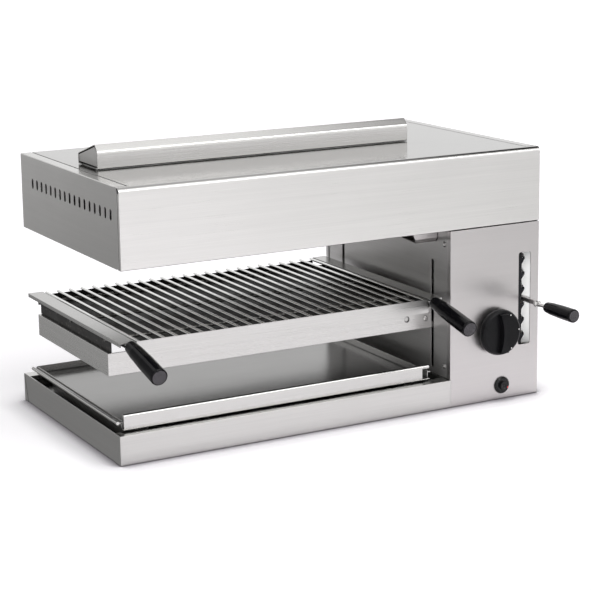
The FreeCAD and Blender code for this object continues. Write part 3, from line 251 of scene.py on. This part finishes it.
def stroke(g, run, across, flat, along_scale, across_scale, detail):
    """Noise drawn out along the brushing stroke."""
    lines = g.node("ShaderNodeCombineXYZ", {"X": g.math("MULTIPLY", run, along_scale),
                                            "Y": g.math("MULTIPLY", across, across_scale),
                                            "Z": flat}).outputs[0]
    return g.noise(lines, 1.0, detail, 0.6)


def aged(g, tone, colour, place):
    """Steel's tone with cloudy haze, lighter edges, and painted shade that darkens narrow seams and inner
    corners.
    """
    haze = g.span(g.noise(place, HAZE_SCALE, 4.0, 0.55), 0.35, 0.7, 0.0, 0.22)
    tone = g.mix("RGBA", haze, tone, opaque(shade(colour, 0.86)))
    edge = g.node("ShaderNodeNewGeometry").outputs["Pointiness"]
    tone = g.mix("RGBA", g.span(edge, 0.505, 0.56, 0.0, EDGE_WEAR), tone, opaque(shade(colour, 1.22)))
    # Painted shade: the colour goes near black where other faces are close, in seams and inner corners
    return g.mix("RGBA", g.span(g.openness(SEAM_SHADE_REACH), 0.50, 0.86, 0.85, 0.0), tone, opaque(SEAM_PAINTED_SHADE))


def brushed(name, colour, rough, flat_rough, grain=0.10, marks=0.5, top_painted_shade=1.0, metallic=1.0):
    """Brushed sheet steel: grain runs level on upright faces and along X on flat ones."""
    material, g = new_material(name)
    place = g.place()
    at = g.split(place)
    normal = g.node("ShaderNodeNewGeometry").outputs["Normal"]
    flat = g.math("GREATER_THAN", g.math("ABSOLUTE", g.split(normal)["Z"]), FLAT_LIMIT)
    across = g.mix("FLOAT", flat, at["Z"], at["Y"])
    run = g.mix("FLOAT", flat, g.math("ADD", at["X"], at["Y"]), at["X"])
    fine = stroke(g, run, across, flat, FINE_ALONG, FINE_ACROSS, 2.0)
    broad = stroke(g, run, across, flat, BROAD_ALONG, BROAD_ACROSS, 3.0)
    lines = g.math("ADD", g.math("MULTIPLY", fine, FINE_SHARE), g.math("MULTIPLY", broad, 1 - FINE_SHARE))
    tone = g.ramp(lines, [(0.30, shade(colour, 1 - grain)), (0.5, colour), (0.72, shade(colour, 1 + grain))])
    tone = aged(g, tone, colour, place)
    # Painted shade: flat faces, such as the hood's top and the tray's floor, are darkened by this factor
    tone = g.mix("RGBA", flat, tone, opaque((top_painted_shade,) * 3), "MULTIPLY")

    level = g.math("ADD", rough, g.math("MULTIPLY", flat, flat_rough - rough))
    smear = g.noise(place, SMEAR_SCALE, 5.0, 0.62)
    rise = g.math("ADD", g.math("MULTIPLY", g.math("SUBTRACT", fine, 0.5), 0.12),
                  g.math("MULTIPLY", g.math("SUBTRACT", smear, 0.5), 0.16 * marks))
    scratch = g.noise(g.stretched(place, SCRATCH_SCALE, SCRATCH_TURN), 1.0, 1.0, 0.5)
    scratched = g.span(scratch, 0.70, 0.78, 0.0, 1.0)
    height = g.math("ADD", lines, g.math("MULTIPLY", scratched, -0.5 * marks))
    eased = g.node("ShaderNodeBevel", {"Radius": EDGE_ROUND}, samples=4).outputs[0]
    tangent = g.mix("VECTOR", flat, g.cross(normal, (0, 0, 1)), g.cross(normal, (0, 1, 0)))
    g.surface(tone, g.bump(height, 0.10, 0.0006, eased),
              {"Roughness": g.math("ADD", level, rise, clamp=True), "Metallic": metallic,
               "Anisotropic": ANISOTROPY, "Tangent": tangent})
    return material


def metal(name, colour, rough, scale, dirt, dirt_colour=(0.1, 0.08, 0.06)):
    """Plain turned, cast or plated metal with handling marks and dull patches."""
    material, g = new_material(name)
    place = g.place()
    small = g.noise(place, scale * 6, 3.0)
    large = g.noise(place, scale * 0.5, 5.0, 0.6)
    tone = g.ramp(small, [(0.3, shade(colour, 0.9)), (0.7, shade(colour, 1.08))])
    tone = g.mix("RGBA", g.span(large, 0.55, 0.8, 0.0, dirt), tone, opaque(dirt_colour))
    roughness = g.math("ADD", g.span(large, 0.35, 0.75, rough * 0.8, rough * 1.7),
                       g.span(small, 0.3, 0.7, -0.02, 0.03), clamp=True)
    g.surface(tone, g.bump(small, 0.12, 0.0004), {"Roughness": roughness, "Metallic": 1.0})
    return material


def pan_finish(name, steel):
    """Grid pan: bright steel on its front wall; near black inside with brown patches, painted shade with
    baked-on fat.
    """
    material, g = new_material(name)
    place = g.place()
    front = g.math("LESS_THAN", g.split(place)["Y"], PAN_FRONT)
    fine = g.noise(g.stretched(place, (5.0, 5.0, FINE_ACROSS)), 1.0, 2.0, 0.6)
    cloud = g.noise(place, 22.0, 6.0, 0.65)
    bright = g.ramp(fine, [(0.3, shade(steel, 0.92)), (0.7, shade(steel, 1.08))])
    # Painted shade with burnt fat: the pan's inside is near black with brown patches
    dark = g.ramp(cloud, [(0.35, PAN_SHADE_AND_BURNT), (0.6, shade(PAN_SHADE_AND_BURNT, 2.0)), (0.8, BURNT_BROWN)])
    roughness = g.mix("FLOAT", front, g.span(cloud, 0.3, 0.75, 0.42, 0.72),
                      g.span(fine, 0.3, 0.7, 0.26, 0.34))
    g.surface(g.mix("RGBA", front, dark, bright), g.bump(cloud, 0.15, 0.0006),
              {"Roughness": roughness, "Metallic": g.span(front, 0.0, 1.0, 0.35, 1.0)})
    return material


def moulded(name, colour, rough, speck, speck_scale, speck_level, grainy=0.12, coat=0.0, shine=0.28):
    """Moulded plastic or enamel: fine grain, faint flow marks and mineral specks."""
    material, g = new_material(name)
    place = g.place()
    fine = g.noise(place, 1400.0, 2.0)
    flow = g.noise(place, 30.0, 4.0, 0.6)
    tone = g.ramp(flow, [(0.3, shade(colour, 0.82)), (0.7, shade(colour, 1.25))])
    dots = g.span(g.noise(place, speck_scale, 1.0), speck_level, speck_level + 0.04, 0.0, 1.0)
    roughness = g.math("ADD", g.span(flow, 0.3, 0.7, rough * 0.85, rough * 1.2),
                       g.span(fine, 0.3, 0.7, -0.02, 0.04), clamp=True)
    g.surface(g.mix("RGBA", dots, tone, opaque(speck)), g.bump(fine, grainy, 0.0003),
              {"Roughness": roughness, "Coat Weight": coat, "Coat Roughness": 0.08,
               "Specular IOR Level": shine})
    return material


def ceramic(name):
    """Porous burner plaque: pale body with rows of fine holes and warm scorching."""
    material, g = new_material(name)
    place = g.place()
    holes = g.node("ShaderNodeTexVoronoi", {"Vector": place, "Scale": PLAQUE_HOLES,
                                            "Randomness": 0.1}).outputs["Distance"]
    cloud = g.noise(place, 14.0, 5.0, 0.6)
    tone = g.ramp(cloud, [(0.3, (0.78, 0.72, 0.62)), (0.6, (0.84, 0.80, 0.72)), (0.8, (0.60, 0.50, 0.40))])
    # Painted shade: the holes are coloured dark
    tone = g.mix("RGBA", g.span(holes, 0.16, 0.24, 0.75, 0.0), tone, opaque((0.12, 0.10, 0.09)))
    g.surface(tone, g.bump(g.span(holes, 0.12, 0.26, 0.0, 1.0), 0.5, 0.0006), {"Roughness": 0.9})
    return material


def floor_material():
    """White floor: pure white where nothing shades it, with the object's shadow kept and a soft shadow
    painted close to the object.
    """
    material, g = new_material("floor_white")
    # Painted shadow: the glow fades where the object is near
    glow = g.node("ShaderNodeEmission", {
        "Color": (1, 1, 1, 1),
        "Strength": g.span(g.openness(SHADOW_REACH), 0.60, 1.0, 0.0, FLOOR_GLOW)})
    # Painted shadow: the floor's colour darkens close to the object
    tone = g.mix("RGBA", g.span(g.openness(CONTACT_REACH), 0.50, 0.92, 0.0, 1.0), opaque(FLOOR_PAINTED_SHADOW),
                 opaque(FLOOR_OPEN))
    matt = g.node("ShaderNodeBsdfDiffuse", {"Color": tone})
    both = g.node("ShaderNodeAddShader", {0: glow.outputs[0], 1: matt.outputs[0]})
    g.show(g.node("ShaderNodeMixShader", {"Fac": g.seen(), 1: matt.outputs[0], 2: both.outputs[0]}))
    return material


def add_world():
    """White world, plain white to the eye and in mirrors and less strong as light."""
    world = bpy.data.worlds.new("studio")
    bpy.context.scene.world = world
    world.use_nodes = True
    g = Graph(world.node_tree, "ShaderNodeOutputWorld")
    level = g.span(g.seen(), 0.0, 1.0, WORLD_LEVEL, 1.0)
    g.show(g.node("ShaderNodeBackground", {"Color": (1, 1, 1, 1), "Strength": level}))


def flat_corners(x0, x1, y0, y1, z):
    return [(x0, y0, z), (x1, y0, z), (x1, y1, z), (x0, y1, z)]


def upright_corners(x, y0, y1, z0, z1):
    return [(x, y0, z0), (x, y1, z0), (x, y1, z1), (x, y0, z1)]


def add_sheet(name, corners, material):
    """Four-cornered sheet of the studio, not part of the object."""
    mesh = bpy.data.meshes.new(name)
    mesh.from_pydata(corners, [], [(0, 1, 2, 3)])
    mesh.materials.append(material)
    return add_object(name, mesh)


def add_floor():
    corners = flat_corners(-FLOOR_HALF, FLOOR_HALF, -FLOOR_HALF, FLOOR_HALF, -FLOOR_DROP)
    add_sheet("floor", corners, floor_material())


def add_card(name, corners, near, far, axis, span):
    """Plain card that only the steel reflects; its level changes evenly along one axis."""
    material, g = new_material(name)
    level = g.span(g.split(g.place())[axis], *span, near, far)
    g.show(g.node("ShaderNodeEmission", {"Color": (1, 1, 1, 1), "Strength": level}))
    card = add_sheet(name, corners, material)
    card.visible_camera = False
    card.visible_shadow = False
    card.visible_diffuse = False


def add_cards():
    """Cards that give the steel its light and dark reflections."""
    add_card("card_left", upright_corners(LEFT_X, LEFT_WALL_Y, LEFT_REAR_Y, 0.0, LEFT_HEIGHT),
             0.34, 0.72, "Y", LEFT_SPAN)
    add_card("card_left_low", flat_corners(LEFT_X, LEFT_LOW_X, LEFT_FRONT_Y, LEFT_REAR_Y, LOW_Z),
             0.42, 0.62, "Y", LEFT_SPAN)
    add_card("card_left_near", flat_corners(LEFT_LOW_X, LEFT_NEAR_X, LEFT_FRONT_Y, LEFT_REAR_Y, LOW_Z),
             0.42, 0.27, "X", (LEFT_LOW_X, LEFT_LOW_X + 0.06))
    add_card("card_right_low", flat_corners(0.5, 3.4, -3.6, -0.45, LOW_Z), 1.0, 0.68, "X", (0.7, 1.9))
    add_card("card_high", flat_corners(-0.2, 3.6, -1.6, 1.3, HIGH_Z), 1.0, 0.03, "X", (0.75, 1.4))


def dress(material, *names):
    """Give a material to the named nodes, in place of their plain one."""
    for name in names:
        slots = nodes[name].data.materials
        slots.clear()
        slots.append(material)


def dress_sheet_metal():
    # Painted light and shade: the factors on STEEL and PANEL_STEEL make lit and shaded copies of one steel,
    # lighter for the front-lit hood, darker for the sides, inner wall and grid bars
    dress(brushed("hood_front_steel", shade(STEEL, 1.10), 0.30, 0.13, marks=0.2, top_painted_shade=0.54),
          "hood_shell")
    dress(brushed("side_steel", shade(STEEL, 0.82), 0.34, 0.22),
          "column_side_panel", "column_rear_cover", "hood_side_left", "hood_side_right", "hood_rear_panel",
          "flue_end_plates")
    dress(brushed("panel_steel", shade(PANEL_STEEL, 0.84), 0.34, 0.30, grain=0.06),
          "column_front_panel", "ignition_shield", "lever_bar")
    dress(brushed("wall_steel", shade(STEEL, 0.74), 0.34, 0.34, grain=0.16, metallic=0.6),
          "column_inner_wall")
    dress(brushed("base_steel", shade(STEEL, 0.89), 0.32, 0.20), "base_pan")
    dress(brushed("flue_steel", shade(STEEL, 1.08), 0.24, 0.18), "flue_cap")
    dress(brushed("carrier_steel", shade(STEEL, 0.92), 0.28, 0.18), "carrier_frame")
    dress(brushed("grid_steel", shade(STEEL, 0.66), 0.28, 0.22), "grid_side_bars")
    dress(pan_finish("pan_steel", shade(STEEL, 0.98)), "grid_pan")
    dress(brushed("tray_steel", shade(STEEL, 0.92), 0.24, 0.20, top_painted_shade=0.41), "base_deck", "drip_tray")
    # Painted shade: the grid rails are near black where they stand in shadow inside the carrier
    dress(moulded("rails_painted_shade", (0.016, 0.015, 0.014), 0.5, (0.10, 0.09, 0.08), 260, 0.66, grainy=0.3),
          "grid_rails")


def dress_metal():
    dress(metal("dark_rod", (0.16, 0.155, 0.15), 0.36, 60, 0.5, (0.03, 0.025, 0.02)), "grid_cross_rods")
    # Painted light: the guide strip is near white and hardly metallic, in place of the bright reflection of a
    # polished strip
    dress(brushed("guide_steel", (0.86, 0.86, 0.85), 0.5, 0.5, grain=0.06, metallic=0.1), "gate_guide")
    # Painted shade: the steel of the tray runners and the column floor is made darker
    dress(brushed("inner_steel", shade(STEEL, 0.7), 0.38, 0.34), "tray_runners", "column_floor")
    dress(metal("bright_rod", (0.80, 0.80, 0.79), 0.16, 60, 0.12),
          "guide_rods", "lever_rod", "grid_rods", "handle_rods")
    dress(metal("screw_steel", (0.62, 0.61, 0.60), 0.24, 120, 0.25),
          "wall_screws", "rear_screws", "carrier_screw", "lever_bolt")
    dress(metal("plain_steel", (0.42, 0.42, 0.41), 0.36, 40, 0.4),
          "flue_collar", "heat_shield", "burner_rails", "burner_boxes", "burner_guards", "gas_tap_spindle",
          "rod_brackets", "lift_plate")
    dress(moulded("black_steel", (0.005, 0.005, 0.006), 0.5, (0.03, 0.03, 0.03), 300, 0.68, shine=0.12),
          "height_rack")
    dress(metal("brass", (0.72, 0.55, 0.28), 0.26, 70, 0.3, (0.25, 0.17, 0.08)),
          "gas_injectors", "gas_inlet_fitting", "gas_tap_body", "gas_tap_plug")
    dress(metal("bronze", (0.52, 0.38, 0.22), 0.4, 70, 0.4), "lift_bushes")
    dress(metal("copper", (0.70, 0.42, 0.28), 0.28, 70, 0.35, (0.2, 0.1, 0.06)), "thermocouple")
    dress(metal("aluminium", (0.72, 0.73, 0.74), 0.35, 50, 0.2, (0.4, 0.4, 0.4)),
          "gas_manifold", "gas_inlet_pipe")


def dress_other():
    """Ceramic, porcelain and plastic pieces and the painted marks."""
    dress(ceramic("ceramic"), "burner_tiles")
    dress(moulded("porcelain", (0.85, 0.84, 0.80), 0.18, (0.5, 0.45, 0.4), 500, 0.72, grainy=0.05, coat=0.6),
          "spark_electrode")
    dress(moulded("knob_black", (0.006, 0.006, 0.007), 0.30, (0.03, 0.03, 0.03), 1500, 0.66, grainy=0.3,
                  shine=0.14),
          "control_knob")
    dress(moulded("grip_black", (0.004, 0.004, 0.005), 0.10, (0.02, 0.02, 0.02), 1500, 0.68, grainy=0.08,
                  shine=0.12),
          "lever_grip", "handle_grips")
    dress(moulded("cap_grey", (0.085, 0.080, 0.088), 0.5, (0.012, 0.012, 0.012), 1100, 0.56, grainy=0.4),
          "lever_grip_cap", "handle_caps")
    dress(moulded("button_black", (0.007, 0.007, 0.008), 0.24, (0.03, 0.03, 0.03), 1500, 0.68, grainy=0.1),
          "igniter_bezel", "igniter_body", "igniter_button")
    dress(moulded("mark_white", (0.80, 0.80, 0.78), 0.5, (0.55, 0.55, 0.53), 2500, 0.62), "knob_marks")
    dress(moulded("mark_red", (0.90, 0.02, 0.04), 0.4, (0.4, 0.02, 0.01), 2500, 0.66), "igniter_mark")


dress_sheet_metal()
dress_metal()
dress_other()
bpy.context.scene.view_settings.view_transform = "Standard"
add_camera()
add_world()
add_floor()
add_cards()
add_sun("key", (-0.25, 0.62, -0.75), 1.5, 50)
add_sun("fill", (0.7, 0.35, -0.6), 0.55, 60)
add_gate_lamp()
